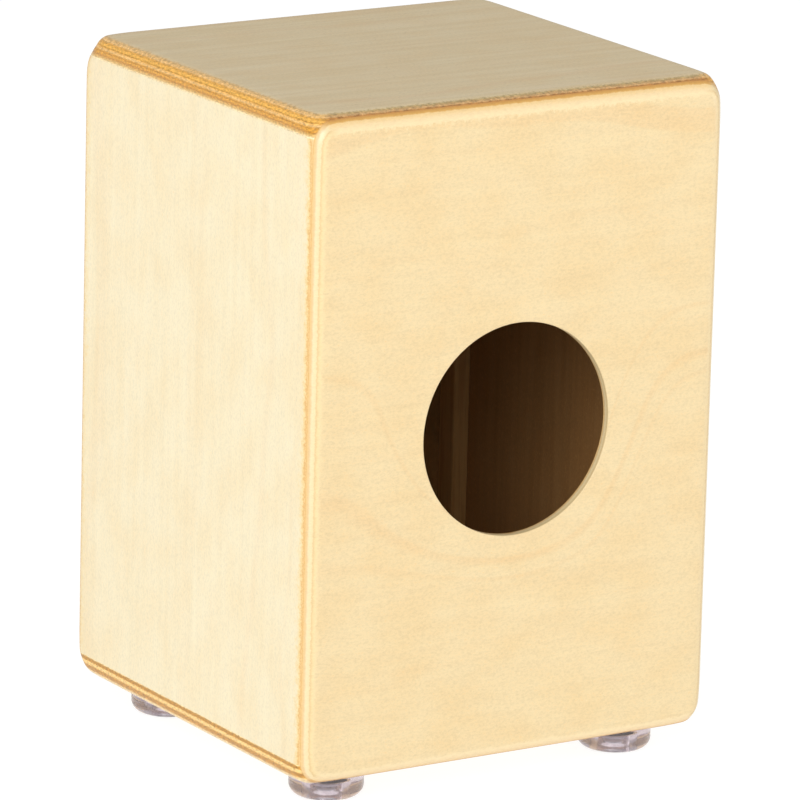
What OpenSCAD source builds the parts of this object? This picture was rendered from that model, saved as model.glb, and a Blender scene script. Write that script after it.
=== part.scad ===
// A small box drum of birch plywood. Four thick panels make a square tube on end, a thin back
// panel with a round sound hole closes one side, and a thin playing face closes the other.
// Softwood battens stiffen the upright corners and the rim behind the playing face. A crossbar
// behind the playing face holds a fan of snare strands. The box stands on four screwed bumpers.
// +Z is up, the back panel faces -Y and the playing face +Y. The origin is on the floor, under
// the middle of the box.

/* [Body] */
// Outside width of the box, side to side
body_w = 150; // [135:1:200]
// Outside depth of the box, back panel to playing face
body_d = 145; // [130:1:200]
// Outside height of the box, without the feet
body_h = 212; // [180:1:300]
// Thickness of the top, bottom and side panels
shell_t = 7; // [6:0.5:9]
// Thickness of the back panel
back_t = 3; // [2.5:0.5:4]
// Thickness of the playing face
tapa_t = 3; // [2.5:0.5:4]

/* [Rounded edges] */
// Radius along the edges of the left and right faces
side_round = 5; // [3:0.5:8]
// Radius along the upper edge of the playing face
tapa_top_round = 8; // [4:0.5:14]
// Radius along the lower edge of the playing face
tapa_bottom_round = 7; // [3:0.5:10]
// Radius along the upper edge of the back panel
back_top_round = 7; // [3:0.5:10]
// Radius along the lower edge of the back panel
back_bottom_round = 5; // [3:0.5:10]

/* [Sound hole] */
// Diameter of the sound hole in the back panel
hole_d = 68.2; // [50:0.2:90]
// Height of the sound hole's centre above the middle of the box
hole_rise = 0.5; // [-10:0.5:10]

/* [Battens] */
// Width of a batten along the panel it stiffens
batten_w = 6; // [5:0.5:9]
// Depth of a batten, front to back
batten_d = 9; // [8:0.5:12]

/* [Feet] */
// Diameter of a bumper foot
foot_d = 23.5; // [18:0.5:28]
// Height of a bumper foot
foot_h = 9.5; // [8:0.5:14]
// Distance of the feet from the middle plane, side to side
foot_x = 54; // [46:0.5:56]
// Distance of the two feet at the back panel from the middle
foot_back_y = 52; // [40:0.5:54]
// Distance of the two feet at the playing face from the middle
foot_front_y = 47; // [40:0.5:54]

/* [Snare] */
// Distance of the crossbar's centre below the top of the box
bar_drop = 64; // [56:1:110]
// Number of snare strands in the fan
strand_count = 12; // [6:1:14]
// Free length of a snare strand
strand_len = 34; // [18:1:44]

/* [Hidden] */
$fn = 96;
over = 5;

box_top = foot_h + body_h;
box_mid = foot_h + body_h / 2;
inner_w = body_w - 2 * shell_t;
inner_h = body_h - 2 * shell_t;
floor_z = foot_h + shell_t;
tapa_in_y = body_d / 2 - tapa_t;
back_in_y = -body_d / 2 + back_t;
shell_d = tapa_in_y - back_in_y;
shell_mid_y = (tapa_in_y + back_in_y) / 2;

foot_edge_r = 3.5;
foot_bore_r = 1.9;
recess_r = 5;
recess_h = 5;
washer_r = 4.6;
washer_t = 1;
foot_screw_r = 1.6;
foot_screw_bite = 5;
foot_screw_head_r = 3.4;
foot_screw_head_h = 2.2;
foot_screw_len = foot_h - recess_h + washer_t + foot_screw_bite;
tip_len = 1.5;
slot_w = 0.9;
slot_h = 1.1;
pilot_gap = 0.05;
pilot_spare = 0.5;

clamp_gap = 0.2;
clamp_t = 2;
clamp_h = 5;
clamp_w = 46;
bar_t = 5;
bar_h = 12;
bar_front_y = tapa_in_y - clamp_gap - clamp_t;
bar_z = box_top - bar_drop - bar_h / 2;
clamp_z = bar_z + bar_h - clamp_h - 1;
strand_r = 0.8;
strand_pitch = 2.4;
clamp_screw_x = clamp_w / 2 - 3;
clamp_screw_r = 1.1;
clamp_screw_len = 5.5;
clamp_screw_head_r = 2.1;
clamp_screw_head_h = 1;

birch = [0.93, 0.80, 0.56];
pine = [0.85, 0.66, 0.42];
clear_pvc = [0.88, 0.84, 0.88];
steel = [0.75, 0.75, 0.76];

// ---- The sanded outline that every panel ends at ----

// The waste outside a quarter round of radius r, from the round's centre outwards.
module corner_waste(r) {
    difference() {
        square(r + over);
        circle(r);
    }
}

// A rectangle w by h with a radius for each corner, from ++ turning left.
module rounded_rect(w, h, radii) {
    difference() {
        square([w, h], center = true);
        for (i = [0:3])
            translate([
                (i == 0 || i == 3 ? 1 : -1) * (w / 2 - radii[i]),
                (i < 2 ? 1 : -1) * (h / 2 - radii[i])
            ])
                rotate(90 * i)
                    corner_waste(radii[i]);
    }
}

// The whole box as one block: its outline along X, along Z and along Y, all three kept.
module sanded_box() {
    side_radii = [side_round, side_round, side_round, side_round];
    translate([0, 0, box_mid])
        intersection() {
            rotate([90, 0, 90])
                linear_extrude(body_w + 2 * over, center = true)
                    rounded_rect(body_d, body_h,
                        [tapa_top_round, back_top_round, back_bottom_round, tapa_bottom_round]);
            linear_extrude(body_h + 2 * over, center = true)
                rounded_rect(body_w, body_d, side_radii);
            rotate([90, 0, 0])
                linear_extrude(body_d + 2 * over, center = true)
                    rounded_rect(body_w, body_h, side_radii);
        }
}

// A sheet of plywood between two corners, cut off at the sanded outline.
module sheet(low, high) {
    intersection() {
        translate(low)
            cube(high - low);
        sanded_box();
    }
}

// ---- Panels ----

// The seat: a thick sheet over the two sides, with its plies showing left and right.
module top_panel() {
    color(birch)
        sheet([-body_w / 2 - over, back_in_y, box_top - shell_t],
            [body_w / 2 + over, tapa_in_y, box_top + over]);
}

// The floor of the box, under the two sides, with a blind pilot hole for each foot screw.
module bottom_panel() {
    color(birch)
        difference() {
            sheet([-body_w / 2 - over, back_in_y, foot_h - over],
                [body_w / 2 + over, tapa_in_y, floor_z]);
            at_feet()
                translate([0, 0, foot_h - over])
                    cylinder(h = over + foot_screw_bite + pilot_spare,
                        r = foot_screw_r + pilot_gap);
        }
}

// An upright side sheet, butted between the top and the floor.
module side_panel(s) {
    color(birch)
        sheet([s > 0 ? inner_w / 2 : -body_w / 2 - over, back_in_y, floor_z],
            [s > 0 ? body_w / 2 + over : -inner_w / 2, tapa_in_y, box_top - shell_t]);
}

module left_side() {
    side_panel(-1);
}

module right_side() {
    side_panel(1);
}

// The thin back sheet over the ends of all four thick panels, with the sound hole cut through.
module back_panel() {
    color(birch)
        difference() {
            sheet([-body_w / 2 - over, -body_d / 2 - over, foot_h - over],
                [body_w / 2 + over, back_in_y, box_top + over]);
            translate([0, -body_d / 2, box_mid + hole_rise])
                rotate([90, 0, 0])
                    cylinder(h = 4 * over, r = hole_d / 2, center = true);
        }
}

// The thin playing face over the front ends of all four thick panels.
module tapa() {
    color(birch)
        sheet([-body_w / 2 - over, tapa_in_y, foot_h - over],
            [body_w / 2 + over, body_d / 2 + over, box_top + over]);
}

// ---- Battens ----

// An upright batten in one corner of the tube, as tall as the inside.
module corner_batten(sx, front) {
    color(pine)
        translate([
            sx > 0 ? inner_w / 2 - batten_w : -inner_w / 2,
            front ? tapa_in_y - batten_d : back_in_y,
            floor_z
        ])
            cube([batten_w, batten_d, inner_h]);
}

module batten_front_left() {
    corner_batten(-1, true);
}

module batten_front_right() {
    corner_batten(1, true);
}

module batten_back_left() {
    corner_batten(-1, false);
}

module batten_back_right() {
    corner_batten(1, false);
}

// A level batten behind the playing face, between the two upright ones.
module rim_batten(z) {
    color(pine)
        translate([-inner_w / 2 + batten_w, tapa_in_y - batten_d, z])
            cube([inner_w - 2 * batten_w, batten_d, batten_w]);
}

module batten_front_top() {
    rim_batten(box_top - shell_t - batten_w);
}

module batten_front_bottom() {
    rim_batten(floor_z);
}

// ---- Feet ----

// Puts its children under all four corners of the box.
module at_feet() {
    for (sx = [-1, 1])
        for (y = [-foot_back_y, foot_front_y])
            translate([sx * foot_x, y, 0])
                children();
}

// A round bumper with a rounded tread edge and a recess for the screw's head and washer.
module bumper(x, y) {
    color(clear_pvc)
        translate([x, y, 0])
            rotate_extrude()
                difference() {
                    translate([foot_bore_r, 0])
                        square([foot_d / 2 - foot_bore_r, foot_h]);
                    translate([0, -over])
                        square([recess_r, recess_h + over]);
                    translate([foot_d / 2 - foot_edge_r, foot_edge_r])
                        rotate(-90)
                            corner_waste(foot_edge_r);
                }
}

module foot_back_left() {
    bumper(-foot_x, -foot_back_y);
}

module foot_back_right() {
    bumper(foot_x, -foot_back_y);
}

module foot_front_left() {
    bumper(-foot_x, foot_front_y);
}

module foot_front_right() {
    bumper(foot_x, foot_front_y);
}

// Flat washers against the ceilings of the recesses.
module foot_washers() {
    color(steel)
        at_feet()
            translate([0, 0, recess_h - washer_t])
                difference() {
                    cylinder(h = washer_t, r = washer_r);
                    translate([0, 0, -over])
                        cylinder(h = 3 * over, r = foot_bore_r);
                }
}

// Pan head wood screws, driven up through washer and bumper into the floor of the box.
module foot_screws() {
    color(steel)
        at_feet()
            translate([0, 0, recess_h - washer_t])
                pan_screw();
}

// One screw along +Z with the underside of its head at z = 0 and a cross recess below.
module pan_screw() {
    shank_len = foot_screw_len - tip_len;
    difference() {
        rotate_extrude()
            union() {
                difference() {
                    translate([0, -foot_screw_head_h])
                        square([foot_screw_head_r, foot_screw_head_h]);
                    translate([foot_screw_head_r - 1, 1 - foot_screw_head_h])
                        rotate(-90)
                            corner_waste(1);
                }
                square([foot_screw_r, shank_len]);
                polygon([
                    [0, shank_len], [foot_screw_r, shank_len], [0, foot_screw_len]
                ]);
            }
        for (a = [0, 90])
            rotate(a)
                translate([-foot_screw_head_r / 2, -slot_w / 2, -foot_screw_head_h - over])
                    cube([foot_screw_head_r, slot_w, slot_h + over]);
    }
}

// ---- Snare ----

// Puts its children at both clamp screws, on the clamp's front face, with +Z to the front.
module at_clamp_screws() {
    for (s = [-1, 1])
        translate([s * clamp_screw_x, bar_front_y + clamp_t, clamp_z + clamp_h / 2])
            rotate([-90, 0, 0])
                children();
}

// A countersunk screw's body along -Z, its flat head level with z = 0.
module countersunk(gap, len) {
    translate([0, 0, -clamp_screw_head_h])
        cylinder(h = clamp_screw_head_h, r1 = clamp_screw_r + gap, r2 = clamp_screw_head_r + gap);
    translate([0, 0, -len])
        cylinder(h = len - clamp_screw_head_h / 2, r = clamp_screw_r + gap);
}

// A crossbar from one front corner batten to the other, with two pilot holes.
module snare_bar() {
    color(pine)
        difference() {
            translate([-inner_w / 2 + batten_w, bar_front_y - bar_t, bar_z])
                cube([inner_w - 2 * batten_w, bar_t, bar_h]);
            at_clamp_screws()
                translate([0, 0, -clamp_screw_len])
                    cylinder(h = clamp_screw_len + over, r = clamp_screw_r + pilot_gap);
        }
}

// The steel strip that grips the lower ends of the strands.
module snare_clamp() {
    color(steel)
        difference() {
            translate([-clamp_w / 2, bar_front_y, clamp_z])
                cube([clamp_w, clamp_t, clamp_h]);
            at_clamp_screws()
                union() {
                    countersunk(pilot_gap, clamp_t + over);
                    cylinder(h = over, r = clamp_screw_head_r + pilot_gap);
                }
        }
}

// Upright strands in a row, close behind the playing face, each as one rod round its coil.
module snare_strands() {
    color(steel)
        for (i = [0:strand_count - 1])
            translate([
                (i - (strand_count - 1) / 2) * strand_pitch,
                bar_front_y + clamp_t / 2,
                clamp_z + clamp_h
            ])
                cylinder(h = strand_len, r = strand_r);
}

// The two screws that hold the clamp to the crossbar.
module snare_screws() {
    color(steel)
        at_clamp_screws()
            countersunk(0, clamp_screw_len);
}

top_panel();
bottom_panel();
left_side();
right_side();
back_panel();
tapa();
batten_front_left();
batten_front_right();
batten_front_top();
batten_front_bottom();
batten_back_left();
batten_back_right();
foot_back_left();
foot_back_right();
foot_front_left();
foot_front_right();
foot_washers();
foot_screws();
snare_bar();
snare_clamp();
snare_strands();
snare_screws();
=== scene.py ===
import math

import bmesh
import bpy
import numpy as np
from mathutils import Matrix, Vector


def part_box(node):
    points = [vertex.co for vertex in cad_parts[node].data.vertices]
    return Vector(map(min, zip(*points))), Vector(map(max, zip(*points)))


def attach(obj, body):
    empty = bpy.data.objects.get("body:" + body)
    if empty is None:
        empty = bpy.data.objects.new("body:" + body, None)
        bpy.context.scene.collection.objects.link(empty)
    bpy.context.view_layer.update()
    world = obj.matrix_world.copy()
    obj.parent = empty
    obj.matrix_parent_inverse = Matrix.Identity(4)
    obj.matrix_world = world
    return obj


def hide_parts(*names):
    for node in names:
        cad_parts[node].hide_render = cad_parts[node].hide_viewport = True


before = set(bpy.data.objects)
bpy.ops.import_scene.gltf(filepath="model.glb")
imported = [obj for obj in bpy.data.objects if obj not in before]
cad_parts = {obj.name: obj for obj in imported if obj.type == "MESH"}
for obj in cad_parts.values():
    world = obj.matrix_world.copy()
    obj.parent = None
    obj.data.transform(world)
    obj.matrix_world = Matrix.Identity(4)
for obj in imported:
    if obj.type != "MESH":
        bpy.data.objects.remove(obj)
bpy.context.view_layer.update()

# ---- Sanded box ----
# Four 7 mm sheets make a tube, and two 3 mm sheets close its ends. The glued box is belt-sanded
# as one block: 5 mm rounds along both side faces, wider ones along the level edges, and softer
# corners where three edges meet. So the outline is one closed shape, and each sheet is cut from
# it, with its edges touched by sandpaper before gluing so that every joint is a fine line.
MM = 0.001
right_x, right_in_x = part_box("right_side")[1].x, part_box("right_side")[0].x
back_y, back_in_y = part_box("back_panel")[0].y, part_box("back_panel")[1].y
tapa_in_y, tapa_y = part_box("tapa")[0].y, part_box("tapa")[1].y
under_z, floor_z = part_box("bottom_panel")[0].z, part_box("bottom_panel")[1].z
seat_in_z, seat_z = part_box("top_panel")[0].z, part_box("top_panel")[1].z
middle = Vector((0, (back_y + tapa_y) / 2, (under_z + seat_z) / 2))
half = Vector((right_x, (tapa_y - back_y) / 2, (seat_z - under_z) / 2))
SIDE_ROUND = 5.0
# Level edges and corners are named by (front or back, top or bottom), each 1 or -1, in mm.
LEVEL_ROUND = {(1, 1): 8.0, (-1, 1): 7.0, (-1, -1): 5.0, (1, -1): 7.0}
CORNER_SOFTER = {(1, 1): 3.6, (-1, 1): 2.0, (-1, -1): 2.2, (1, -1): 1.6}
CORNER_REACH = 16.0
JOINT_ARRIS = 0.12
# Grid lines of the block stand this far in from its edges, closer where the rounds are.
FINE_TO_COARSE = [0, 0.2, 0.5, 0.9, 1.4, 2.0, 2.7, 3.5, 4.4, 5.4, 6.6, 8.0, 9.6, 11.5, 14, 18,
                  24, 34]


def sanded(sharp):
    """Where a point of the sharp block, in mm from its middle, lies once the box is sanded."""
    size = np.array(half) / MM
    sign = np.where(sharp >= 0, 1, -1)
    from_side, b, c = size - np.abs(sharp)
    key = (int(sign[1]), int(sign[2]))
    softer = CORNER_SOFTER[key]
    level = LEVEL_ROUND[key] + softer * max(0.0, 1 - from_side / CORNER_REACH) ** 2
    outward = np.array([1.0, 0.0]) if b < c else np.array([0.0, 1.0])
    inside = min(b, c)
    if b < level and c < level:
        reach = np.array([level - b, level - c])
        reach = reach * max(reach) / np.hypot(*reach)
        outward = reach / np.hypot(*reach)
        b, c = level - reach
        inside = level - np.hypot(*reach)
    edge = SIDE_ROUND + softer * max(0.0, 1 - max(b, c) / CORNER_REACH) ** 2
    if from_side < edge and inside < edge:
        reach = np.array([edge - from_side, edge - inside])
        kept = reach * max(reach) / np.hypot(*reach)
        from_side = edge - kept[0]
        b, c = np.array([b, c]) + outward * (reach[1] - kept[1])
    return sign * (size - np.array([from_side, b, c]))


def sanded_block():
    """The whole sanded box as one closed bmesh."""
    lines = []
    for length in 2 * half / MM:
        near = [p - length / 2 for p in FINE_TO_COARSE if p < length / 2]
        lines.append(near + [0.0] + [-p for p in reversed(near)])
    block, made = bmesh.new(), {}
    for axis in range(3):
        one, two = (axis + 1) % 3, (axis + 2) % 3
        for side in (-1, 1):
            for i in range(len(lines[one]) - 1):
                for j in range(len(lines[two]) - 1):
                    corners = []
                    for u, v in ((i, j), (i + 1, j), (i + 1, j + 1), (i, j + 1)):
                        place = [0.0] * 3
                        place[axis] = side * half[axis] / MM
                        place[one], place[two] = lines[one][u], lines[two][v]
                        key = tuple(round(p, 4) for p in place)
                        if key not in made:
                            spot = Vector(sanded(np.array(place))) * MM + middle
                            made[key] = block.verts.new(spot)
                        corners.append(made[key])
                    block.faces.new(corners)
    bmesh.ops.remove_doubles(block, verts=block.verts, dist=1e-7)
    bmesh.ops.recalc_face_normals(block, faces=block.faces)
    return block


whole_box = sanded_block()


def cut_sheet(name, *cuts):
    """A sheet left from the sanded box by cuts of (axis, side kept, position)."""
    block = whole_box.copy()
    arris = block.edges.layers.float.new("bevel_weight_edge")
    for axis, side, place in cuts:
        point, normal = Vector(), Vector()
        point[axis], normal[axis] = place, -side
        opened = bmesh.ops.bisect_plane(
            block, geom=block.verts[:] + block.edges[:] + block.faces[:], dist=1e-7,
            plane_co=point, plane_no=normal, clear_outer=True)["geom_cut"]
        rim = [part for part in opened if isinstance(part, bmesh.types.BMEdge)]
        for face in bmesh.ops.edgeloop_fill(block, edges=rim)["faces"]:
            for edge in face.edges:
                edge[arris] = 1.0
    bmesh.ops.recalc_face_normals(block, faces=block.faces)
    mesh = bpy.data.meshes.new(name)
    block.to_mesh(mesh)
    block.free()
    mesh.shade_smooth()
    return mesh


def as_piece(name, mesh, finish, slot_name, *nodes):
    """A piece of that mesh and finish, which rides with the drum and stands for CAD nodes."""
    piece = bpy.data.objects.new(name, mesh)
    bpy.context.scene.collection.objects.link(piece)
    mesh.materials.clear()
    mesh.materials.append(finish)
    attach(piece, "root")
    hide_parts(*nodes)
    return piece


def ease(piece, width):
    """A hair of round on a sheet's cut edges, with shading that keeps its flats flat."""
    bevel = piece.modifiers.new("arris", "BEVEL")
    bevel.limit_method, bevel.width, bevel.segments = "WEIGHT", width * MM, 2
    flats = piece.modifiers.new("flats", "WEIGHTED_NORMAL")
    flats.keep_sharp, flats.weight = True, 100


# ---- Lacquered birch plywood ----
# Rotary-cut birch veneers glued crosswise, sanded and sprayed with clear satin lacquer. A face
# is pale wood with faint bowed year lines, silky streaks and fine specks. Where sanding cuts
# through an edge the veneers show as stripes: end grain drinks lacquer and turns orange, long
# grain stays pale, and glue lines are thin and darker.
YEAR_SPACING = 19.0
YEAR_DRIFT = 42.0
EDGE_WANDER = 0.9
LACQUERED_RELIEF = 0.03
BELT_FROM, BELT_FULL = -9.0, -4.0
BLUSH, LATE_WOOD, PORE = "f9e6c4", "d9a766", "c79f63"


def tint(code):
    """A linear colour from an sRGB hex code."""
    parts = [int(code[i:i + 2], 16) / 255 for i in (0, 2, 4)]
    return (*[c / 12.92 if c <= 0.04045 else ((c + 0.055) / 1.055) ** 2.4 for c in parts], 1.0)


def add(tree, kind, values, out=0, **settings):
    """Adds a node with its settings; values are numbers or links by input. Returns an output."""
    node = tree.nodes.new(kind)
    for name, value in settings.items():
        setattr(node, name, value)
    for key, value in values.items():
        if isinstance(value, bpy.types.NodeSocket):
            tree.links.new(value, node.inputs[key])
        else:
            node.inputs[key].default_value = value
    return node.outputs[out] if node.outputs else None


def new_finish(name):
    """An empty material and its node tree."""
    finish = bpy.data.materials.new(name)
    finish.use_nodes = True
    finish.node_tree.nodes.clear()
    return finish, finish.node_tree


def birch_ply(name, depth, grain, across, thick, ends, sides, face, inner, figure, blotch,
              worn=0.0):
    """depth is (axis, direction into the sheet, outer face in m); grain and across are axes.

    ends and sides are the stripes on edges across and along the face grain. face and inner are
    (light, dark) hex of the outer veneer and the raw inner one. figure is (year line strength,
    streak strength, bulges, seed), each bulge (along, across, reach, lift) in mm. blotch is the
    unevenness of the cut edges, 0 to 1. worn is how deep, in mm, the belt has cut into the face
    beside the edges that the grain runs along.
    """
    line_strength, streak_strength, bulges, seed = figure
    finish, tree = new_finish(name)
    letters = "XYZ"
    place = add(tree, "ShaderNodeTexCoord", {}, out=3)
    place = add(tree, "ShaderNodeVectorMath", {0: place, "Scale": 1 / MM}, operation="SCALE")
    axes = add(tree, "ShaderNodeSeparateXYZ", {0: place}).node.outputs
    axis, direction, start = depth
    into = add(tree, "ShaderNodeMath", {0: axes[axis], 1: direction, 2: -direction * start / MM},
               operation="MULTIPLY_ADD")
    run, rise = [add(tree, "ShaderNodeMath", {0: axes[letter],
                                              1: middle[letters.index(letter)] / MM},
                     operation="SUBTRACT") for letter in (grain, across)]
    sheet = add(tree, "ShaderNodeCombineXYZ", {"X": run, "Y": rise, "Z": into})

    # Year lines: contours of a slow field over the sheet, lifted where the log bulged.
    field = rise
    for along, over, reach, lift in bulges:
        off_x = add(tree, "ShaderNodeMath", {0: run, 1: along}, operation="SUBTRACT")
        off_y = add(tree, "ShaderNodeMath", {0: rise, 1: over}, operation="SUBTRACT")
        flat = add(tree, "ShaderNodeCombineXYZ", {"X": off_x, "Y": off_y})
        away = add(tree, "ShaderNodeVectorMath", {0: flat}, out=1, operation="LENGTH")
        bulge = add(tree, "ShaderNodeMapRange", {
            "Value": away, "From Min": 0.0, "From Max": reach * 2, "To Min": lift, "To Max": 0.0},
            interpolation_type="SMOOTHERSTEP")
        field = add(tree, "ShaderNodeMath", {0: field, 1: bulge}, operation="ADD")
    bent = add(tree, "ShaderNodeMapping", {"Vector": sheet, "Scale": (0.010, 0.016, 0.0),
                                           "Location": (seed, 0, 0)})
    drift = add(tree, "ShaderNodeTexNoise", {"Vector": bent, "Scale": 1.0, "Detail": 1.0})
    field = add(tree, "ShaderNodeMath", {0: drift, 1: YEAR_DRIFT, 2: field},
                operation="MULTIPLY_ADD")
    years = add(tree, "ShaderNodeMath", {0: field, 1: 1 / YEAR_SPACING, 2: seed},
                operation="MULTIPLY_ADD")
    years = add(tree, "ShaderNodeTexNoise", {"W": years, "Scale": 1.0, "Detail": 2.0},
                noise_dimensions="1D")
    late = add(tree, "ShaderNodeMapRange", {"Value": years, "From Min": 0.54, "From Max": 0.70,
                                            "To Max": line_strength},
               interpolation_type="SMOOTHSTEP")

    # Streaks run with the grain, 2 to 4 mm wide; silk is finer, about 0.6 mm; specks are
    # short vessels about 1 mm long, and pores are the few darker ones among them.
    streak_map = add(tree, "ShaderNodeMapping", {"Vector": sheet, "Scale": (0.010, 0.30, 0.30),
                                                 "Location": (seed, seed, 0)})
    streak = add(tree, "ShaderNodeTexNoise", {"Vector": streak_map, "Scale": 1.0, "Detail": 3.0})
    silk_map = add(tree, "ShaderNodeMapping", {"Vector": sheet, "Scale": (0.10, 1.6, 1.6),
                                               "Location": (seed, 0, seed)})
    silk = add(tree, "ShaderNodeTexNoise", {"Vector": silk_map, "Scale": 1.0, "Detail": 1.0})
    speck_map = add(tree, "ShaderNodeMapping", {"Vector": sheet, "Scale": (0.9, 1.5, 1.5),
                                                "Location": (0, seed, seed)})
    speck = add(tree, "ShaderNodeTexNoise", {"Vector": speck_map, "Scale": 1.0, "Detail": 2.0,
                                             "Roughness": 0.7})
    blush_map = add(tree, "ShaderNodeMapping", {"Vector": sheet, "Scale": (0.05, 0.07, 0.0),
                                                "Location": (seed, 0, 0)})
    blush = add(tree, "ShaderNodeTexNoise", {"Vector": blush_map, "Scale": 1.0, "Detail": 3.0})
    tone = add(tree, "ShaderNodeMath", {0: streak, 1: streak_strength,
                                        2: 0.5 - streak_strength / 2}, operation="MULTIPLY_ADD")
    tone = add(tree, "ShaderNodeMapRange", {"Value": tone, "From Min": 0.3, "From Max": 0.7})
    sparkle = add(tree, "ShaderNodeMapRange", {"Value": speck, "From Min": 0.25, "From Max": 0.75,
                                               "To Min": 0.90, "To Max": 1.10})
    pore = add(tree, "ShaderNodeMapRange", {"Value": speck, "From Min": 0.60, "From Max": 0.72,
                                            "To Max": 0.30}, interpolation_type="SMOOTHSTEP")
    patch = add(tree, "ShaderNodeMapRange", {"Value": blush, "From Min": 0.40, "From Max": 0.65,
                                             "To Max": 0.22})
    shine = add(tree, "ShaderNodeMapRange", {"Value": silk, "From Min": 0.3, "From Max": 0.7,
                                             "To Min": 0.985, "To Max": 1.015})

    veneers = []
    for light, dark in (face, inner):
        wood = add(tree, "ShaderNodeMix", {0: tone, 6: tint(light), 7: tint(dark)}, out=2,
                   data_type="RGBA")
        wood = add(tree, "ShaderNodeMix", {0: patch, 6: wood, 7: tint(BLUSH)}, out=2,
                   data_type="RGBA", blend_type="MULTIPLY")
        wood = add(tree, "ShaderNodeMix", {0: late, 6: wood, 7: tint(LATE_WOOD)}, out=2,
                   data_type="RGBA")
        wood = add(tree, "ShaderNodeMix", {0: pore, 6: wood, 7: tint(PORE)}, out=2,
                   data_type="RGBA")
        wood = add(tree, "ShaderNodeVectorMath", {0: wood, "Scale": sparkle}, operation="SCALE")
        wood = add(tree, "ShaderNodeVectorMath", {0: wood, "Scale": shine}, operation="SCALE")
        veneers.append(wood)

    # Edge stripes: their boundaries wander, by 0.1 mm mostly and EDGE_WANDER / 2 at the very
    # most, and ends and sides swap over at the corners.
    wander_map = add(tree, "ShaderNodeMapping", {"Vector": place, "Scale": (0.7, 0.7, 0.7)})
    wander = add(tree, "ShaderNodeTexNoise", {"Vector": wander_map, "Scale": 1.0, "Detail": 4.0,
                                              "Roughness": 0.75})
    cut = add(tree, "ShaderNodeMath", {0: wander, 1: EDGE_WANDER, 2: into},
              operation="MULTIPLY_ADD")
    cut = add(tree, "ShaderNodeMath", {0: cut, 1: EDGE_WANDER / 2}, operation="SUBTRACT")
    near = []
    for value, letter in ((run, grain), (rise, across)):
        size = half[letters.index(letter)] / MM
        value = add(tree, "ShaderNodeMath", {0: value}, operation="ABSOLUTE")
        near.append(add(tree, "ShaderNodeMath", {0: value, 1: size}, operation="SUBTRACT"))
    if worn:
        belt = add(tree, "ShaderNodeMapRange", {"Value": near[1], "From Min": BELT_FROM,
                                                "From Max": BELT_FULL, "To Max": worn})
        cut = add(tree, "ShaderNodeMath", {0: cut, 1: belt}, operation="ADD")
    at_end = add(tree, "ShaderNodeMath", {0: near[0], 1: near[1]}, operation="SUBTRACT")
    at_end = add(tree, "ShaderNodeMapRange", {"Value": at_end, "From Min": -4.0, "From Max": 0.5},
                 interpolation_type="SMOOTHSTEP")
    ratio = add(tree, "ShaderNodeMath", {0: cut, 1: thick}, operation="DIVIDE")
    stripes = []
    for stops in (sides, ends):
        stripes.append(add(tree, "ShaderNodeValToRGB", {"Fac": ratio}))
        ramp = stripes[-1].node.color_ramp.elements
        while len(ramp) < len(stops):
            ramp.new(1.0)
        for stop, (deep, code) in zip(ramp, stops):
            stop.position, stop.color = deep / thick, tint(code)
    edge = add(tree, "ShaderNodeMix", {0: at_end, 6: stripes[0], 7: stripes[1]}, out=2,
               data_type="RGBA")
    # Fibre ends, about 0.5 to 1.3 mm, leave the end grain blotchy.
    fibre_map = add(tree, "ShaderNodeMapping", {"Vector": place, "Scale": (0.8, 0.8, 2.2)})
    fibre = add(tree, "ShaderNodeTexNoise", {"Vector": fibre_map, "Scale": 1.0, "Detail": 3.0,
                                             "Roughness": 0.7})
    uneven = add(tree, "ShaderNodeMapRange", {"Value": fibre, "From Min": 0.3, "From Max": 0.7,
                                              "To Min": 1 - blotch, "To Max": 1 + blotch})
    edge = add(tree, "ShaderNodeVectorMath", {0: edge, "Scale": uneven}, operation="SCALE")
    through = add(tree, "ShaderNodeMapRange", {"Value": cut, "From Min": 0.04, "From Max": 0.36},
                  interpolation_type="SMOOTHSTEP")
    wood = add(tree, "ShaderNodeMix", {0: through, 6: veneers[0], 7: edge}, out=2,
               data_type="RGBA")
    raw = add(tree, "ShaderNodeMapRange", {"Value": into, "From Min": thick - 0.03,
                                           "From Max": thick - 0.01})
    wood = add(tree, "ShaderNodeMix", {0: raw, 6: wood, 7: veneers[1]}, out=2, data_type="RGBA")

    # Lacquer levels most of the grain, and leaves a satin shine under a thin clear coat.
    relief = add(tree, "ShaderNodeMath", {0: speck, 1: silk}, operation="ADD")
    normal = add(tree, "ShaderNodeBump", {"Strength": 0.3, "Distance": LACQUERED_RELIEF * MM,
                                          "Height": relief})
    gloss = add(tree, "ShaderNodeMapRange", {"Value": silk, "From Min": 0.2, "From Max": 0.8,
                                             "To Min": 0.40, "To Max": 0.56})
    gloss = add(tree, "ShaderNodeMath", {0: raw, 1: 0.3, 2: gloss}, operation="MULTIPLY_ADD")
    shader = add(tree, "ShaderNodeBsdfPrincipled", {
        "Base Color": wood, "Roughness": gloss, "IOR": 1.5, "Normal": normal,
        "Coat Weight": 0.30, "Coat Roughness": 0.25})
    add(tree, "ShaderNodeOutputMaterial", {"Surface": shader})
    return finish


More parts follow.
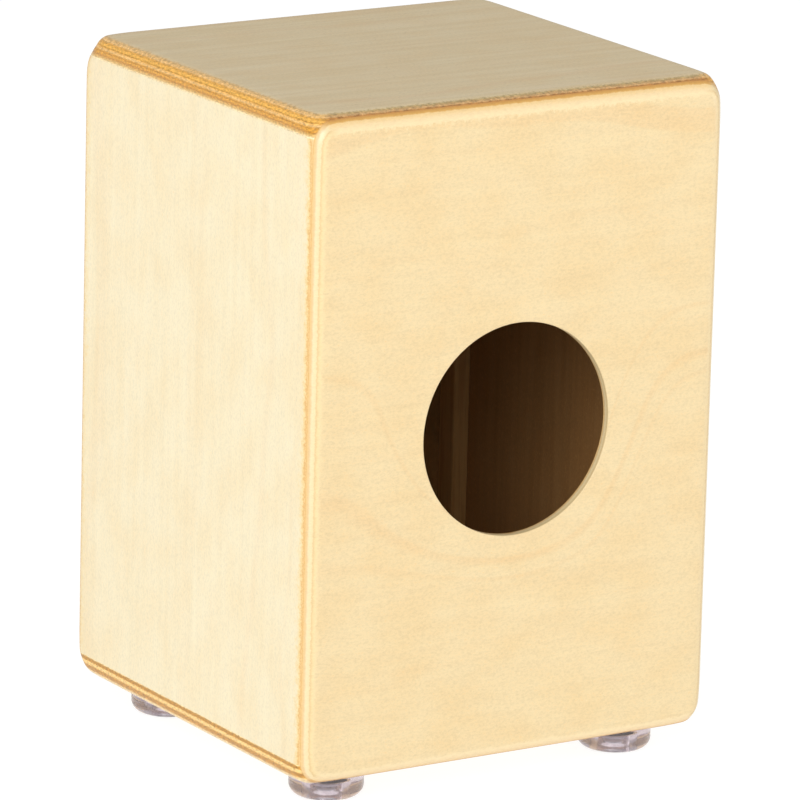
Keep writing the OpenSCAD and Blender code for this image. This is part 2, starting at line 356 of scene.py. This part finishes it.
# ---- Seat ----
# The top is a 7 mm five-ply sheet with its grain running left to right. Its rounded ends show
# every veneer, and its back edge only the first two.
SEAT_ENDS = [(0.0, "e5bf83"), (0.25, "d2ac6f"), (0.7, "e6b771"), (0.95, "eabe7c"),
             (1.2, "daa552"), (1.45, "d59c41"), (1.75, "e3aa4b"), (2.05, "edb553"),
             (2.3, "dca546"), (2.52, "be862e"), (2.75, "e6b05b"), (3.3, "e4b775"),
             (3.7, "d09b44"), (4.0, "bb8028"), (4.35, "d79c36"), (4.75, "d19533"),
             (5.2, "b97f26"), (5.6, "c9994a"), (6.1, "d2a963"), (6.6, "e8cf9a"),
             (7.0, "eed9ae")]
SEAT_SIDES = [(0.0, "ccb27e"), (0.10, "b39c66"), (0.38, "bda26c"), (0.55, "b8925c"),
              (0.75, "cca570"), (0.95, "c89b62"), (1.1, "ae783c"), (7.0, "ac7538")]
seat_finish = birch_ply("lacquered_birch_seat", ("Z", -1, seat_z), "X", "Y", 7.0, SEAT_ENDS,
                        SEAT_SIDES, ("e6d3ab", "dcc595"), ("c9a672", "b8925c"),
                        (0.16, 0.7, [], 3.1), 0.42)
seat = as_piece("seat_sheet", cut_sheet(
    "seat_sheet", (2, 1, seat_in_z), (1, 1, back_in_y), (1, -1, tapa_in_y)),
    seat_finish, "birch_plywood", "top_panel")
ease(seat, JOINT_ARRIS)

# ---- Floor sheet ----
# The same thickness of sheet closes the tube below and takes the foot screws. At each end two
# dark veneers show between three pale ones.
FLOOR_ENDS = [(0.0, "ecd3a2"), (1.8, "ebcc96"), (2.4, "e6c078"), (2.75, "c78f36"),
              (3.4, "bb8229"), (4.1, "bb8633"), (4.4, "e4b768"), (4.85, "edc57f"),
              (5.35, "f3c979"), (5.65, "be862c"), (6.1, "b78026"), (6.6, "bc8835"),
              (6.8, "e7ca88"), (7.0, "f5e1ae")]
floor_finish = birch_ply("lacquered_birch_floor", ("Z", 1, under_z), "X", "Y", 7.0, FLOOR_ENDS,
                         SEAT_SIDES, ("ead2a0", "dfc28a"), ("c9a672", "b8925c"),
                         (0.20, 0.9, [], 11.7), 0.50)
floor_sheet = as_piece("floor_sheet", cut_sheet(
    "floor_sheet", (2, -1, floor_z), (1, 1, back_in_y), (1, -1, tapa_in_y)),
    floor_finish, "birch_plywood", "bottom_panel")
ease(floor_sheet, JOINT_ARRIS)

# ---- Sides ----
# Two upright 7 mm sheets butted between seat and floor, grain running up. They have the palest
# face veneer, and beside both upright edges the belt has gone through it to the glue.
SIDE_EDGES = [(0.0, "ecdfbc"), (0.12, "e9d8ae"), (0.28, "e8d09a"), (0.44, "e4c487"),
              (0.55, "d4a562"), (0.68, "e2bd80"), (1.2, "e4c690"), (7.0, "c9a672")]
for sheet_name, node_name, sign in (("left_sheet", "left_side", -1),
                                    ("right_sheet", "right_side", 1)):
    side_finish = birch_ply("lacquered_birch_" + sheet_name, ("X", -sign, sign * right_x), "Z",
                            "Y", 7.0, SIDE_EDGES, SIDE_EDGES, ("ecdfbd", "e6d7b1"),
                            ("b48650", "a0723e"), (0.08, 0.55, [], 21.3 + sign), 0.07, worn=0.28)
    side = as_piece(sheet_name, cut_sheet(
        sheet_name, (2, 1, floor_z), (2, -1, seat_in_z), (1, 1, back_in_y),
        (1, -1, tapa_in_y), (0, sign, sign * right_in_x)),
        side_finish, "birch_plywood", node_name)
    ease(side, JOINT_ARRIS)

# ---- Tapa ----
# The playing face is a 3 mm three-ply sheet glued over the front of the tube, grain running
# up. It is thin so that it rings when it is struck.
# The pale middle veneer of these end stripes, 1.0 to 1.7 mm deep, is partly the ply's own pale
# wood and partly a painted highlight: the light along the back sheet's rounded upright edges is
# painted into its colour.
THIN_ENDS_WITH_PAINTED_HIGHLIGHT = [(0.0, "e6d0a2"), (0.5, "e3ca96"), (0.8, "d8ba86"), (1.0, "e4ce9e"),
             (1.7, "e6d0a4"), (1.9, "dfc596"), (2.2, "dbba85"), (2.6, "e0bb80"), (3.0, "d2a65e")]
THIN_SIDES = [(0.0, "ebd6a8"), (0.9, "e9cfa0"), (1.5, "e8c890"), (1.8, "e6c68c"),
              (2.0, "d4a458"), (2.4, "cc9a50"), (3.0, "c28a46")]
tapa_finish = birch_ply("lacquered_birch_tapa", ("Y", -1, tapa_y), "Z", "X", 3.0, THIN_ENDS_WITH_PAINTED_HIGHLIGHT,
                        THIN_SIDES, ("e6d0a2", "dfc694"), ("b69058", "a07a46"),
                        (0.25, 0.5, [(10, 15, 45, 60), (-60, -20, 30, -35)], 31.9), 0.07)
tapa = as_piece("tapa_sheet", cut_sheet("tapa_sheet", (1, 1, tapa_in_y)), tapa_finish,
                "birch_plywood", "tapa")
ease(tapa, JOINT_ARRIS)

# ---- Back with the sound hole ----
# A 3 mm three-ply sheet glued over the back of the tube, grain running left to right. The hole
# is cut with a hole saw, and both its edges are broken with sandpaper.
HOLE_ROUND = 0.25
HOLE_STEPS = 160
rim = [v.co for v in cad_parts["back_panel"].data.vertices
       if math.hypot(v.co.x, v.co.z - middle.z) < half.x * 0.7]
hole_r = (max(p.z for p in rim) - min(p.z for p in rim)) / 2
hole_z = (max(p.z for p in rim) + min(p.z for p in rim)) / 2


def turned(name, outline, steps):
    """A closed mesh from an outline of (radius, height) in metres turned about Z."""
    lathe = bmesh.new()
    rings = [[lathe.verts.new((r * math.cos(2 * math.pi * k / steps),
                               r * math.sin(2 * math.pi * k / steps), h))
              for k in range(steps if r > 1e-9 else 1)] for r, h in outline]
    loop = rings[1:] + rings[:1] if outline[0][0] > 1e-9 else rings[1:]
    for low, high in zip(rings, loop):
        for k in range(steps):
            around = [low[k % len(low)], low[(k + 1) % len(low)],
                      high[(k + 1) % len(high)], high[k % len(high)]]
            around = list(dict.fromkeys(around))
            if len(around) > 2:
                lathe.faces.new(around)
    bmesh.ops.recalc_face_normals(lathe, faces=lathe.faces)
    mesh = bpy.data.meshes.new(name)
    lathe.to_mesh(mesh)
    lathe.free()
    mesh.shade_smooth()
    return mesh


def carved(mesh, tool):
    """The mesh with the tool's mesh taken out of it."""
    pair = [bpy.data.objects.new(part.name, part) for part in (mesh, tool)]
    for made in pair:
        bpy.context.scene.collection.objects.link(made)
    carve = pair[0].modifiers.new("carve", "BOOLEAN")
    carve.object, carve.solver = pair[1], "EXACT"
    bpy.context.view_layer.update()
    result = bpy.data.meshes.new_from_object(
        pair[0].evaluated_get(bpy.context.evaluated_depsgraph_get()))
    for made in pair:
        bpy.data.objects.remove(made)
    return result


thin, lip = back_in_y - back_y, HOLE_ROUND * MM
flare = [(hole_r + lip * (1 - math.cos(a)), thin / 2 - lip + lip * math.sin(a))
         for a in np.linspace(0, math.pi / 2, 6)] + [(hole_r + lip, 2 * thin), (0.0, 2 * thin)]
hole_saw = turned("hole_saw", [(r, -h) for r, h in reversed(flare)] + flare, HOLE_STEPS)
hole_saw.transform(Matrix.Translation((0, (back_y + back_in_y) / 2, hole_z))
                   @ Matrix.Rotation(math.pi / 2, 4, "X"))
# The back sheet's upright edges carry the painted highlight in the pale middle veneer of the end
# stripes.
back_finish = birch_ply("lacquered_birch_back", ("Y", 1, back_y), "X", "Z", 3.0, THIN_ENDS_WITH_PAINTED_HIGHLIGHT,
                        THIN_SIDES, ("e3cea0", "dcc394"), ("c9a672", "b8925c"),
                        (0.17, 0.35, [(0, 0, 36, 80), (76, -8, 34, -55)], 7.4), 0.06)
back = as_piece("back_sheet", carved(cut_sheet("back_sheet", (1, -1, back_in_y)), hole_saw),
                back_finish, "birch_plywood", "back_panel")
ease(back, JOINT_ARRIS)
whole_box.free()

# ---- Battens ----
# Planed softwood strips glued into the corners: four make a frame behind the tapa, two stand
# in the back corners. They are raw inside the drum, straight-grained and a little fuzzy.
BATTEN_ARRIS = 0.5
RING_SPACING, FUZZ_SIZE, FUZZ_DEEP = 1.25, 1 / 3.5, 0.06


def raw_softwood(name, grain, seed):
    """Planed softwood with its grain along an axis (0, 1 or 2)."""
    finish, tree = new_finish(name)
    place = add(tree, "ShaderNodeTexCoord", {}, out=3)
    # Year rings on the quarter face, drawn out 30 times longer along the grain.
    scale = [1 / (RING_SPACING * MM)] * 3
    scale[grain] /= 30
    rings = add(tree, "ShaderNodeMapping", {"Vector": place, "Scale": scale,
                                            "Location": (seed, seed / 2, seed / 3)})
    rings = add(tree, "ShaderNodeTexNoise", {"Vector": rings, "Scale": 1.0, "Detail": 3.0,
                                             "Distortion": 0.4})
    fine = [1 / (FUZZ_SIZE * MM)] * 3
    fine[grain] /= 12
    fuzz = add(tree, "ShaderNodeMapping", {"Vector": place, "Scale": fine})
    fuzz = add(tree, "ShaderNodeTexNoise", {"Vector": fuzz, "Scale": 1.0, "Detail": 3.0,
                                            "Roughness": 0.7})
    late = add(tree, "ShaderNodeMapRange", {"Value": rings, "From Min": 0.46, "From Max": 0.62},
               interpolation_type="SMOOTHSTEP")
    wood = add(tree, "ShaderNodeMix", {0: late, 6: tint("d6ab6a"), 7: tint("cc9e5e")}, out=2,
               data_type="RGBA")
    depth = add(tree, "ShaderNodeMapRange", {"Value": fuzz, "From Min": 0.25, "From Max": 0.75,
                                             "To Min": 0.90, "To Max": 1.05})
    wood = add(tree, "ShaderNodeVectorMath", {0: wood, "Scale": depth}, operation="SCALE")
    normal = add(tree, "ShaderNodeBump", {"Strength": 0.5, "Distance": FUZZ_DEEP * MM,
                                          "Height": fuzz})
    rough = add(tree, "ShaderNodeMapRange", {"Value": fuzz, "To Min": 0.62, "To Max": 0.85})
    shader = add(tree, "ShaderNodeBsdfPrincipled", {"Base Color": wood, "Roughness": rough,
                                                    "IOR": 1.5, "Normal": normal})
    add(tree, "ShaderNodeOutputMaterial", {"Surface": shader})
    return finish


def planed(name, node, width):
    """A bevelled copy of a straight-edged CAD node."""
    strip = bmesh.new()
    strip.from_mesh(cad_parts[node].data)
    bmesh.ops.remove_doubles(strip, verts=strip.verts, dist=1e-6)
    bmesh.ops.dissolve_limit(strip, angle_limit=0.01, verts=strip.verts, edges=strip.edges)
    bmesh.ops.bevel(strip, geom=strip.edges[:], offset=width * MM, segments=3, profile=0.5,
                    affect="EDGES")
    mesh = bpy.data.meshes.new(name)
    strip.to_mesh(mesh)
    strip.free()
    return mesh


for k, (node, grain) in enumerate({
        "batten_front_left": 2, "batten_front_right": 2, "batten_front_top": 0,
        "batten_front_bottom": 0, "batten_back_left": 2, "batten_back_right": 2,
        "snare_bar": 0}.items()):
    as_piece(node + "_strip", planed(node, node, BATTEN_ARRIS),
             raw_softwood("raw_softwood_" + node, grain, 5.3 * k), "softwood", node)

# ---- Feet ----
# Four soft clear bumpers, moulded in smoky polyurethane with a rounded foot and a deep recess
# for the screw head. The moulding is glossy with faint ripples and specks of air, and the wall
# swells a little under the weight of the drum.
FOOT_STEPS = 72
FOOT_EDGE = 3.5
FOOT_LIP = 0.5
FOOT_SWELL = 0.15


def smoky_bumper():
    """Clear polyurethane with a grey-mauve cast, glossy and a little cloudy."""
    finish, tree = new_finish("moulded_clear_polyurethane")
    place = add(tree, "ShaderNodeTexCoord", {}, out=3)
    air = add(tree, "ShaderNodeTexNoise", {"Vector": place, "Scale": 1.1 / MM, "Detail": 3.0,
                                           "Roughness": 0.7})
    flow = add(tree, "ShaderNodeTexNoise", {"Vector": place, "Scale": 0.25 / MM, "Detail": 1.0})
    cloud = add(tree, "ShaderNodeMapRange", {"Value": air, "From Min": 0.40, "From Max": 0.68})
    colour = add(tree, "ShaderNodeMix", {0: cloud, 6: tint("d2c4cc"), 7: tint("e8dee4")}, out=2,
                 data_type="RGBA")
    ripple = add(tree, "ShaderNodeMath", {0: air, 1: 0.5, 2: flow}, operation="MULTIPLY_ADD")
    normal = add(tree, "ShaderNodeBump", {"Strength": 0.25, "Distance": 0.05 * MM,
                                          "Height": ripple})
    rough = add(tree, "ShaderNodeMapRange", {"Value": air, "To Min": 0.05, "To Max": 0.16})
    shader = add(tree, "ShaderNodeBsdfPrincipled", {
        "Base Color": colour, "Roughness": rough, "IOR": 1.5, "Normal": normal,
        "Transmission Weight": 0.86})
    add(tree, "ShaderNodeOutputMaterial", {"Surface": shader})
    return finish


bumper_finish = smoky_bumper()
feet = ["foot_back_left", "foot_back_right", "foot_front_left", "foot_front_right"]
foot_middles = [(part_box(n)[0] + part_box(n)[1]) / 2 for n in feet]
foot_r = (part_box(feet[0])[1].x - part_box(feet[0])[0].x) / 2 + FOOT_SWELL * MM
foot_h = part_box(feet[0])[1].z
BORE_R, RECESS_R, RECESS_H = 1.9 * MM, 5.0 * MM, 5.0 * MM
edge, foot_lip = FOOT_EDGE * MM, FOOT_LIP * MM
foot_outline = [(BORE_R, foot_h), (BORE_R, RECESS_H), (RECESS_R, RECESS_H),
                (RECESS_R, foot_lip), (RECESS_R + foot_lip, 0.0)]
foot_outline += [(foot_r - edge + edge * math.sin(a), edge - edge * math.cos(a))
                 for a in np.linspace(0, math.pi / 2, 12)]
foot_outline += [(foot_r, foot_h - foot_lip), (foot_r - foot_lip, foot_h)]
for node, place in zip(feet, foot_middles):
    moulded = turned(node, foot_outline, FOOT_STEPS)
    moulded.transform(Matrix.Translation((place.x, place.y, 0)))
    moulded.set_sharp_from_angle(angle=math.radians(40))
    as_piece(node + "_bumper", moulded, bumper_finish, "clear_bumper", node)

# ---- Foot washers and screws ----
# Zinc-plated pressed washers sit in each bumper under a cross-slotted pan-head wood screw. The
# plating is bright and bluish, with fine turning marks.
SCREW_STEPS = 24
THREAD_PITCH, THREAD_DEEP = 0.9, 0.35
FOOT_SCREW_CROSS = (3.8, 0.9, 1.1)
washer_box, screw_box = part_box("foot_washers"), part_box("foot_screws")
span = max(p.x for p in foot_middles) - min(p.x for p in foot_middles)
WASHER_OUT = (washer_box[1].x - washer_box[0].x - span) / 2 / MM
HEAD_OUT = (screw_box[1].x - screw_box[0].x - span) / 2 / MM


def bright_metal(name, light, dark, marks):
    """Plated or drawn steel; marks is the size in mm of its polishing or drawing marks."""
    finish, tree = new_finish(name)
    place = add(tree, "ShaderNodeTexCoord", {}, out=3)
    fine = add(tree, "ShaderNodeTexNoise", {"Vector": place, "Scale": 1 / (marks * MM),
                                            "Detail": 3.0, "Roughness": 0.6})
    colour = add(tree, "ShaderNodeMix", {0: fine, 6: tint(light), 7: tint(dark)}, out=2,
                 data_type="RGBA")
    rough = add(tree, "ShaderNodeMapRange", {"Value": fine, "To Min": 0.20, "To Max": 0.42})
    normal = add(tree, "ShaderNodeBump", {"Strength": 0.3, "Distance": 0.02 * MM,
                                          "Height": fine})
    shader = add(tree, "ShaderNodeBsdfPrincipled", {"Base Color": colour, "Metallic": 1.0,
                                                    "Roughness": rough, "Normal": normal})
    add(tree, "ShaderNodeOutputMaterial", {"Surface": shader})
    return finish


def repeated(name, one, finish, spots):
    """Copies of one mesh at several spots, as a plain mesh made by a node tree."""
    points = bpy.data.meshes.new(name)
    points.from_pydata(spots, [], [])
    holder, model = bpy.data.objects.new(name, points), bpy.data.objects.new("one_" + name, one)
    for made in (holder, model):
        bpy.context.scene.collection.objects.link(made)
    tree = bpy.data.node_groups.new(name + "_at_spots", "GeometryNodeTree")
    tree.interface.new_socket("Spots", in_out="INPUT", socket_type="NodeSocketGeometry")
    which = tree.interface.new_socket("One", in_out="INPUT", socket_type="NodeSocketObject")
    size = tree.interface.new_socket("Size", in_out="INPUT", socket_type="NodeSocketFloat")
    look = tree.interface.new_socket("Finish", in_out="INPUT", socket_type="NodeSocketMaterial")
    tree.interface.new_socket("Copies", in_out="OUTPUT", socket_type="NodeSocketGeometry")
    given = add(tree, "NodeGroupInput", {}).node.outputs
    shape = add(tree, "GeometryNodeObjectInfo", {"Object": given["One"]}).node.outputs["Geometry"]
    copies = add(tree, "GeometryNodeInstanceOnPoints", {
        "Points": given["Spots"], "Instance": shape, "Scale": given["Size"]})
    solid = add(tree, "GeometryNodeRealizeInstances", {"Geometry": copies})
    plated = add(tree, "GeometryNodeSetMaterial", {"Geometry": solid,
                                                   "Material": given["Finish"]})
    add(tree, "NodeGroupOutput", {"Copies": plated})
    spread = holder.modifiers.new("spread", "NODES")
    spread.node_group = tree
    spread[which.identifier], spread[size.identifier] = model, 1.0
    spread[look.identifier] = finish
    bpy.context.view_layer.update()
    result = bpy.data.meshes.new_from_object(
        holder.evaluated_get(bpy.context.evaluated_depsgraph_get()))
    for made in (holder, model):
        bpy.data.objects.remove(made)
    return result


def cross_slotted(screw, face_z, long, wide, deep):
    """The screw mesh with a cross of that length, width and depth in mm cut at a height."""
    for turn in (0, math.pi / 2):
        blade = bmesh.new()
        bmesh.ops.create_cube(blade, size=MM, matrix=Matrix.Rotation(turn, 4, "Z")
                              @ Matrix.Diagonal((long, wide, deep * 2, 1)))
        cutter = bpy.data.meshes.new("blade")
        blade.to_mesh(cutter)
        blade.free()
        cutter.transform(Matrix.Translation((0, 0, face_z)))
        screw = carved(screw, cutter)
    return screw


zinc = bright_metal("zinc_plated_steel", "d9dde0", "b4babf", 0.5)
low, high = washer_box[0].z / MM, washer_box[1].z / MM
dish = 0.25
washer = turned("washer", [(r * MM, h * MM) for r, h in (
    (BORE_R / MM, low + dish), (WASHER_OUT - dish, low), (WASHER_OUT, low + dish),
    (WASHER_OUT, high - dish), (WASHER_OUT - dish, high), (BORE_R / MM, high))], 48)
washer.set_sharp_from_angle(angle=math.radians(40))
floor_spots = [(p.x, p.y, 0) for p in foot_middles]
as_piece("foot_washers_set", repeated("foot_washers_set", washer, zinc, floor_spots), zinc,
         "zinc_steel", "foot_washers")
head_low, tip = screw_box[0].z / MM, screw_box[1].z / MM
SHANK, CORE, TIP_LONG, CLEAR = 1.6, 1.6 - THREAD_DEEP, 1.5, 0.05
# The head's dome as (out from its edge, up from its face), and a thread as (radius, height).
DOME = [(-1.4, 0.0), (-0.4, 0.35), (0.0, 1.1)]
THREAD = [(CORE, 0.15), (SHANK, 0.45), (CORE, 0.75)]
profile = [(0, head_low)] + [(HEAD_OUT + out, head_low + rise) for out, rise in DOME]
profile += [(HEAD_OUT, low - CLEAR), (SHANK, low - CLEAR), (SHANK, high)]
threads = int((tip - TIP_LONG - high) / THREAD_PITCH)
for k in range(threads):
    profile += [(r, high + k * THREAD_PITCH + h) for r, h in THREAD]
profile += [(CORE, tip - TIP_LONG), (0, tip)]
screw = turned("foot_screw", [(r * MM, h * MM) for r, h in profile], SCREW_STEPS)
screw = cross_slotted(screw, head_low * MM, *FOOT_SCREW_CROSS)
screw.set_sharp_from_angle(angle=math.radians(35))
as_piece("foot_screws_set", repeated("foot_screws_set", screw, zinc, floor_spots), zinc,
         "zinc_steel", "foot_screws")

# ---- Snare ----
# Twelve coiled steel strands lie against the back of the tapa. A folded steel strip grips
# their lower ends and is screwed to a softwood bar, so the coils buzz when the tapa is hit.
WIRE, COIL_PITCH, COIL_STEPS, WIRE_SIDES = 0.35, 0.75, 14, 5
strands_box, clamp_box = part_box("snare_strands"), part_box("snare_clamp")
bar_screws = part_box("snare_screws")
strand_r = (strands_box[1].y - strands_box[0].y) / 2
strand_y = (strands_box[1].y + strands_box[0].y) / 2
strand_long = strands_box[1].z - strands_box[0].z
STRANDS = 12
pitch = (strands_box[1].x - strands_box[0].x - 2 * strand_r) / (STRANDS - 1)
spring = bright_metal("drawn_spring_steel", "c9c8c6", "8f9092", 0.3)

tree = bpy.data.node_groups.new("coiled_strands", "GeometryNodeTree")
tree.interface.new_socket("Start", in_out="INPUT", socket_type="NodeSocketGeometry")
inputs = {}
for label, kind in (("Strands", "Int"), ("Pitch", "Float"), ("Turns", "Float"),
                    ("Coil radius", "Float"), ("Wire radius", "Float"), ("Length", "Float"),
                    ("Finish", "Material")):
    inputs[label] = tree.interface.new_socket(label, in_out="INPUT",
                                              socket_type="NodeSocket" + kind).identifier
tree.interface.new_socket("Strands", in_out="OUTPUT", socket_type="NodeSocketGeometry")
given = add(tree, "NodeGroupInput", {}).node.outputs
coil = add(tree, "GeometryNodeCurveSpiral", {
    "Resolution": COIL_STEPS, "Rotations": given["Turns"], "Start Radius": given["Coil radius"],
    "End Radius": given["Coil radius"], "Height": given["Length"]})
wire = add(tree, "GeometryNodeCurvePrimitiveCircle", {"Resolution": WIRE_SIDES,
                                                      "Radius": given["Wire radius"]})
strand = add(tree, "GeometryNodeCurveToMesh", {"Curve": coil, "Profile Curve": wire,
                                               "Fill Caps": True})
step = add(tree, "ShaderNodeCombineXYZ", {"X": given["Pitch"]})
row = add(tree, "GeometryNodeMeshLine", {"Count": given["Strands"], "Offset": step})
lined = add(tree, "GeometryNodeInstanceOnPoints", {"Points": row, "Instance": strand})
solid = add(tree, "GeometryNodeRealizeInstances", {"Geometry": lined})
steel = add(tree, "GeometryNodeSetMaterial", {"Geometry": solid, "Material": given["Finish"]})
add(tree, "NodeGroupOutput", {"Strands": steel})
holder = bpy.data.objects.new("strands", bpy.data.meshes.new("strands"))
bpy.context.scene.collection.objects.link(holder)
coiled = holder.modifiers.new("coiled", "NODES")
coiled.node_group = tree
for label, value in (("Strands", STRANDS), ("Pitch", pitch),
                     ("Turns", strand_long / MM / COIL_PITCH),
                     ("Coil radius", strand_r - WIRE / 2 * MM), ("Wire radius", WIRE / 2 * MM),
                     ("Length", strand_long - WIRE * MM), ("Finish", spring)):
    coiled[inputs[label]] = value
bpy.context.view_layer.update()
strands = bpy.data.meshes.new_from_object(
    holder.evaluated_get(bpy.context.evaluated_depsgraph_get()))
bpy.data.objects.remove(holder)
strands.transform(Matrix.Translation((strands_box[0].x + strand_r, strand_y,
                                      strands_box[0].z + WIRE / 2 * MM)))
strands.shade_smooth()
as_piece("snare_strands_coils", strands, spring, "spring_steel", "snare_strands")

# The strip is folded round the strand ends and pressed between them, which leaves a dimple at
# each strand.
FOLD_ROUND, PRESSED, STATIONS = 0.45, 0.18, 140
strip = bmesh.new()
low_y, high_y = clamp_box[0].y, clamp_box[1].y
low_z, high_z = clamp_box[0].z, clamp_box[1].z
fold = FOLD_ROUND * MM
section = [(low_y + fold * (1 - math.cos(a)), low_z + fold * (1 - math.sin(a)))
           for a in np.linspace(0, math.pi / 2, 4)]
section += [(high_y - fold * (1 - math.sin(a)), low_z + fold * (1 - math.cos(a)))
            for a in np.linspace(0, math.pi / 2, 4)]
section += [(high_y, (low_z + high_z) / 2), (high_y, high_z - fold / 2),
            (high_y - fold / 2, high_z), (low_y + fold / 2, high_z), (low_y, high_z - fold / 2),
            (low_y, (low_z + high_z) / 2)]
stations = np.linspace(clamp_box[0].x, clamp_box[1].x, STATIONS)
rings = []
for x in stations:
    press = PRESSED * MM * (0.5 - 0.5 * math.cos(2 * math.pi * (x - strands_box[0].x - strand_r)
                                                 / pitch))
    press *= strands_box[0].x < x < strands_box[1].x
    rings.append([strip.verts.new((x, y - press if y == high_y and z > low_z + fold * 1.5
                                   else y, z)) for y, z in section])
for one, two in zip(rings, rings[1:]):
    for k in range(len(section)):
        strip.faces.new((one[k], two[k], two[(k + 1) % len(section)],
                         one[(k + 1) % len(section)]))
strip.faces.new(rings[0])
strip.faces.new(rings[-1][::-1])
bmesh.ops.recalc_face_normals(strip, faces=strip.faces)
clamp = bpy.data.meshes.new("clamp")
strip.to_mesh(clamp)
strip.free()
clamp.shade_smooth()
clamp.set_sharp_from_angle(angle=math.radians(50))
as_piece("snare_clamp_strip", clamp, spring, "spring_steel", "snare_clamp")

# Two small countersunk screws hold the strip on the bar.
BAR_SCREW_CROSS = (2.4, 0.5, 0.6)
BAR_CREST, BAR_CORE, BAR_PITCH, BAR_TURNS = 1.1, 0.8, 0.8, 4
head_r = (bar_screws[1].z - bar_screws[0].z) / 2
screw_long = bar_screws[1].y - bar_screws[0].y
outline = [(0, 0), (head_r, 0), (head_r, 0.1 * MM), (BAR_CREST * MM, 1.0 * MM)]
for k in range(BAR_TURNS):
    outline += [(BAR_CORE * MM, (1.2 + BAR_PITCH * k) * MM),
                (BAR_CREST * MM, (1.5 + BAR_PITCH * k) * MM)]
outline += [(BAR_CORE * MM, (1.2 + BAR_PITCH * BAR_TURNS) * MM), (0, screw_long)]
small = cross_slotted(turned("bar_screw", outline, SCREW_STEPS), 0.0, *BAR_SCREW_CROSS)
small.transform(Matrix.Rotation(math.pi / 2, 4, "X"))
small.set_sharp_from_angle(angle=math.radians(35))
screw_z = (bar_screws[0].z + bar_screws[1].z) / 2
bar_spots = [(x, bar_screws[1].y, screw_z) for x in (bar_screws[0].x + head_r,
                                                     bar_screws[1].x - head_r)]
as_piece("snare_screws_pair", repeated("snare_screws_pair", small, zinc, bar_spots), zinc,
         "zinc_steel", "snare_screws")

# ---- Room ----
# A plain white table in a pale room, with a large softbox high at the left of the hole and a
# small one low at its right. The table glows, so that it stays white round the soft shadow.
TABLE_HALF, TABLE_Z = 9, -0.1 * MM
TABLE_GREY, TABLE_GLOW, ROOM_LIGHT = 0.2, 0.9, 0.46
table_finish, tree = new_finish("white_table")
paper = add(tree, "ShaderNodeBsdfPrincipled", {
    "Base Color": (TABLE_GREY, TABLE_GREY, TABLE_GREY, 1), "Roughness": 0.9,
    "Specular IOR Level": 0.0, "Emission Color": (1, 1, 1, 1), "Emission Strength": TABLE_GLOW})
add(tree, "ShaderNodeOutputMaterial", {"Surface": paper})
table = bpy.data.meshes.new("table")
table.from_pydata([(x * TABLE_HALF, y * TABLE_HALF, TABLE_Z)
                   for x, y in ((-1, -1), (1, -1), (1, 1), (-1, 1))], [], [(0, 1, 2, 3)])
table.materials.append(table_finish)
table_top = bpy.data.objects.new("table", table)
bpy.context.scene.collection.objects.link(table_top)

room = bpy.data.worlds.new("room")
bpy.context.scene.world = room
room.use_nodes = True
room.node_tree.nodes["Background"].inputs["Color"].default_value = (1, 1, 1, 1)
room.node_tree.nodes["Background"].inputs["Strength"].default_value = ROOM_LIGHT


def softbox(name, width, height, power, toward, away):
    """An area light that faces the middle of the drum, in metres and watts."""
    light = bpy.data.lights.new(name, "AREA")
    light.shape, light.size, light.size_y, light.energy = "RECTANGLE", width, height, power
    lamp = bpy.data.objects.new(name, light)
    bpy.context.scene.collection.objects.link(lamp)
    toward = Vector(toward).normalized()
    lamp.matrix_world = Matrix.Translation(middle + toward * away) @ \
        toward.to_track_quat("Z", "Y").to_matrix().to_4x4()


softbox("key", 1.89, 2.27, 78.0, (-0.70, -0.63, 0.50), 3.2)
softbox("fill", 0.6, 1.2, 9.5, (0.88, -0.60, 0.10), 1.8)

# ---- Camera ----
# A long lens about two metres away, turned to the drum's left and a little above it. It is
# moved a few mm across and down, which sets the drum in the frame.
TURN, TILT, ROLL = math.radians(32.224), math.radians(14.531), math.radians(1.440)
AWAY, LENS = 2.19455, 309.34
ACROSS, DOWN = 0.002015, 0.006815
look = Vector((math.sin(TURN) * math.cos(TILT), math.cos(TURN) * math.cos(TILT), -math.sin(TILT)))
level = Vector((math.cos(TURN), -math.sin(TURN), 0))
upright = level.cross(look)
right = level * math.cos(ROLL) + upright * math.sin(ROLL)
up = upright * math.cos(ROLL) - level * math.sin(ROLL)
lens = bpy.data.cameras.new("camera")
lens.lens, lens.sensor_width, lens.clip_start, lens.clip_end = LENS, 36.0, 0.05, 60.0
camera = bpy.data.objects.new("camera", lens)
bpy.context.scene.collection.objects.link(camera)
spot = middle - look * AWAY + right * ACROSS - up * DOWN
camera.matrix_world = Matrix.Translation(spot) @ Matrix((right, up, -look)).transposed().to_4x4()
bpy.context.scene.camera = camera
bpy.context.scene.view_settings.view_transform = "Standard"
